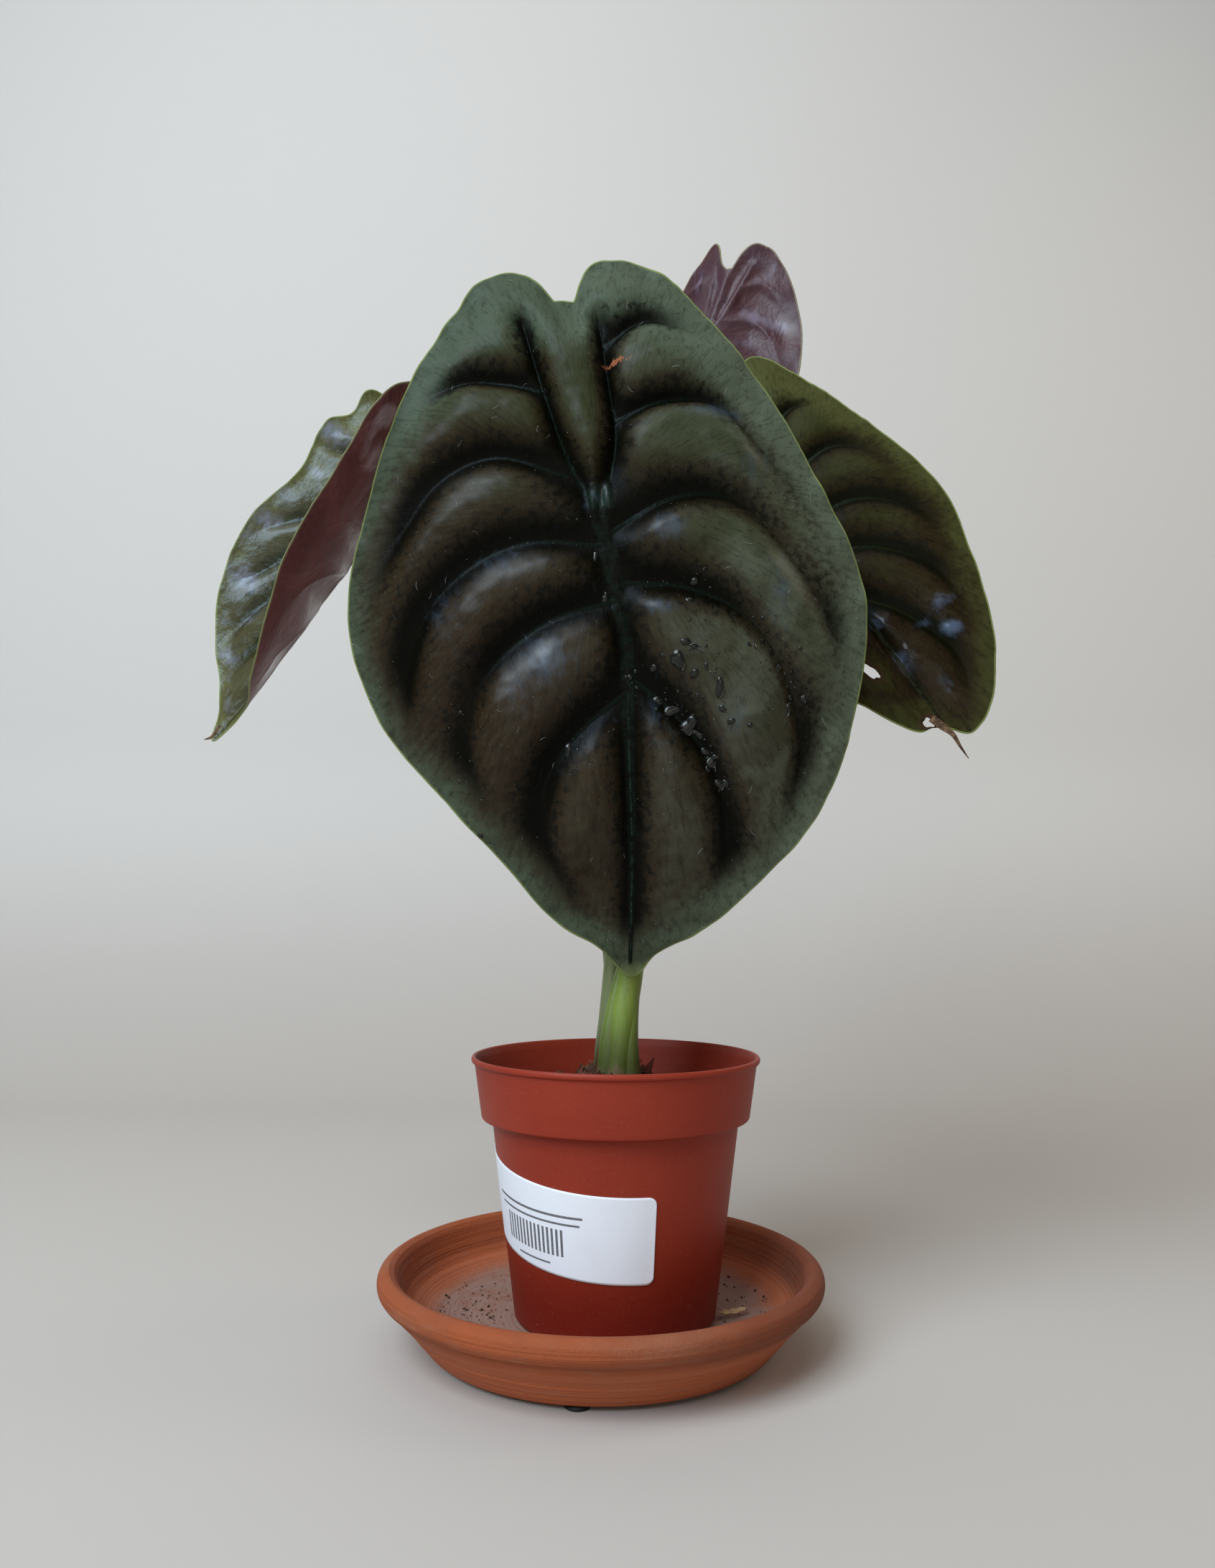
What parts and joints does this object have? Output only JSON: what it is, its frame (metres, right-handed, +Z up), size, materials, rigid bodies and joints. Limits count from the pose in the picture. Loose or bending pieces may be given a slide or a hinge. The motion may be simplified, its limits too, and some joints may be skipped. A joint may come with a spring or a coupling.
{
  "type": "potted plant",
  "caption": "Potted plant with large shield-shaped quilted leaves on long stems, in a thin round nursery pot standing in a clay saucer on rubber pads.",
  "frame": {"origin": "middle of the object's bounding box in X and Y, on the surface that the saucer's pads stand on", "axes": "+Z up along the pot's axis, the front leaf faces -Y and +X is to its right as seen from the front"},
  "size_m": [0.294, 0.1574, 0.4446],
  "materials": {
    "clay": "unglazed, dusty",
    "pad_rubber": "matte",
    "pot_plastic": "satin, slightly grained",
    "label_paper": "matte",
    "potting_mix": "crumbly",
    "crown_husk": "fibrous",
    "young_spear": "satin",
    "stem_bright": "satin",
    "stem_dull": "satin",
    "leaf_dark": "waxy, metallic sheen",
    "leaf_olive": "glossy",
    "leaf_maroon": "satin"
  },
  "bodies": {
    "root": {"saucer": "clay", "saucer_pad_1": "pad_rubber", "saucer_pad_2": "pad_rubber", "saucer_pad_3": "pad_rubber", "pot": "pot_plastic", "label": "label_paper", "soil": "potting_mix", "crown": "crown_husk", "spear": "young_spear", "stem_front": "stem_bright", "stem_right": "stem_dull", "stem_left": "stem_dull", "stem_back": "stem_dull", "leaf_front": "leaf_dark", "leaf_right": "leaf_olive", "leaf_left": "leaf_maroon", "leaf_back": "leaf_maroon"}
  },
  "joints": []
}
